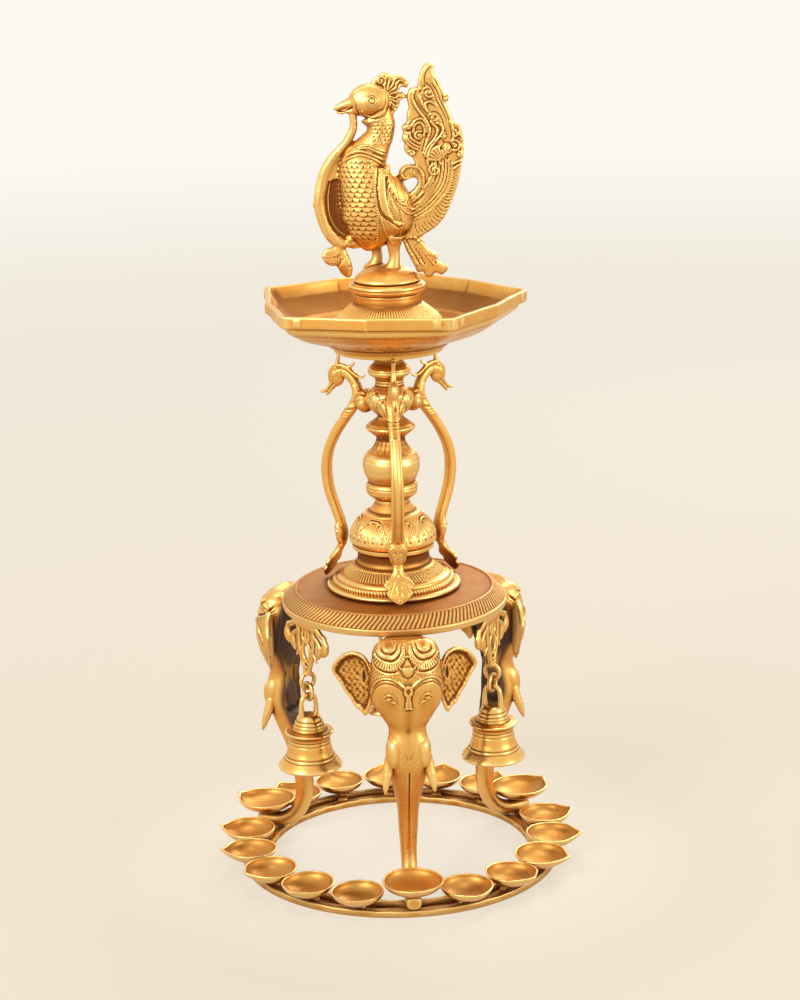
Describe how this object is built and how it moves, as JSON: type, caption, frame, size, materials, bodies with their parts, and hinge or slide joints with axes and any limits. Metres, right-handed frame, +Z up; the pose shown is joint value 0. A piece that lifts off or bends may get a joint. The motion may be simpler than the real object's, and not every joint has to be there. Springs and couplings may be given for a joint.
{
  "type": "peacock oil lamp",
  "caption": "Standing brass oil lamp with a peacock over a spouted bowl, bird-headed brackets, elephant-head legs, swinging bells and a ring of small oil cups",
  "frame": {"origin": "on the surface that the base ring rests on, at the middle of the ring", "axes": "+Z up through the stem; -Y towards the viewer, with the front elephant there; the peacock faces -X"},
  "size_m": [0.2816, 0.286, 0.6083],
  "materials": {
    "cast_brass": "satin golden brass, darker in the recesses",
    "plain_brass": "plain unpolished brass"
  },
  "bodies": {
    "stand": {"base_ring": "cast_brass", "trunk_cup_1": "cast_brass", "trunk_cup_2": "cast_brass", "trunk_cup_3": "cast_brass", "ring_cup_20": "cast_brass", "ring_cup_40": "cast_brass", "ring_cup_60": "cast_brass", "ring_cup_80": "cast_brass", "ring_cup_100": "cast_brass", "ring_cup_140": "cast_brass", "ring_cup_160": "cast_brass", "ring_cup_180": "cast_brass", "ring_cup_200": "cast_brass", "ring_cup_220": "cast_brass", "ring_cup_260": "cast_brass", "ring_cup_280": "cast_brass", "ring_cup_300": "cast_brass", "ring_cup_320": "cast_brass", "ring_cup_340": "cast_brass", "platform": "cast_brass", "elephant_leg_1": "cast_brass", "leg_screw_1": "plain_brass", "bird_bracket_1": "cast_brass", "bell_hanger_1": "cast_brass", "elephant_leg_2": "cast_brass", "leg_screw_2": "plain_brass", "bird_bracket_2": "cast_brass", "bell_hanger_2": "cast_brass", "elephant_leg_3": "cast_brass", "leg_screw_3": "plain_brass", "bird_bracket_3": "cast_brass", "bell_hanger_3": "cast_brass", "stem_lower": "cast_brass", "stem_middle": "cast_brass", "stem_upper": "cast_brass", "oil_bowl": "cast_brass", "bowl_dome": "cast_brass", "peacock_pedestal": "cast_brass", "peacock": "cast_brass", "tie_rod": "plain_brass", "tie_washer": "plain_brass", "tie_nut": "plain_brass"},
    "link_1": {"hook_link_1": "cast_brass"},
    "bell_1": {"bell_1": "cast_brass"},
    "clapper_1": {"clapper_1": "plain_brass"},
    "link_2": {"hook_link_2": "cast_brass"},
    "bell_2": {"bell_2": "cast_brass"},
    "clapper_2": {"clapper_2": "plain_brass"},
    "link_3": {"hook_link_3": "cast_brass"},
    "bell_3": {"bell_3": "cast_brass"},
    "clapper_3": {"clapper_3": "plain_brass"}
  },
  "joints": [
    {"name": "link_1_swing", "type": "hinge", "parent": "stand", "child": "link_1", "pos_m": [0.06928, -0.04, 0.1528], "axis": [0.866, -0.5, 0], "range_deg": [-25, 25]},
    {"name": "bell_1_swing", "type": "hinge", "parent": "link_1", "child": "bell_1", "pos_m": [0.06928, -0.04, 0.1439], "axis": [0.5, 0.866, 0], "range_deg": [-25, 25]},
    {"name": "clapper_1_swing", "type": "hinge", "parent": "bell_1", "child": "clapper_1", "pos_m": [0.06928, -0.04, 0.12231], "axis": [0.5, 0.866, 0], "range_deg": [-26, 26]},
    {"name": "link_2_swing", "type": "hinge", "parent": "stand", "child": "link_2", "pos_m": [0, 0.08, 0.1528], "axis": [0, 1, 0], "range_deg": [-25, 25]},
    {"name": "bell_2_swing", "type": "hinge", "parent": "link_2", "child": "bell_2", "pos_m": [0, 0.08, 0.1439], "axis": [-1, 0, 0], "range_deg": [-25, 25]},
    {"name": "clapper_2_swing", "type": "hinge", "parent": "bell_2", "child": "clapper_2", "pos_m": [0, 0.08, 0.12231], "axis": [-1, 0, 0], "range_deg": [-26, 26]},
    {"name": "link_3_swing", "type": "hinge", "parent": "stand", "child": "link_3", "pos_m": [-0.06928, -0.04, 0.1528], "axis": [-0.866, -0.5, 0], "range_deg": [-25, 25]},
    {"name": "bell_3_swing", "type": "hinge", "parent": "link_3", "child": "bell_3", "pos_m": [-0.06928, -0.04, 0.1439], "axis": [0.5, -0.866, 0], "range_deg": [-25, 25]},
    {"name": "clapper_3_swing", "type": "hinge", "parent": "bell_3", "child": "clapper_3", "pos_m": [-0.06928, -0.04, 0.12231], "axis": [0.5, -0.866, 0], "range_deg": [-26, 26]}
  ]
}
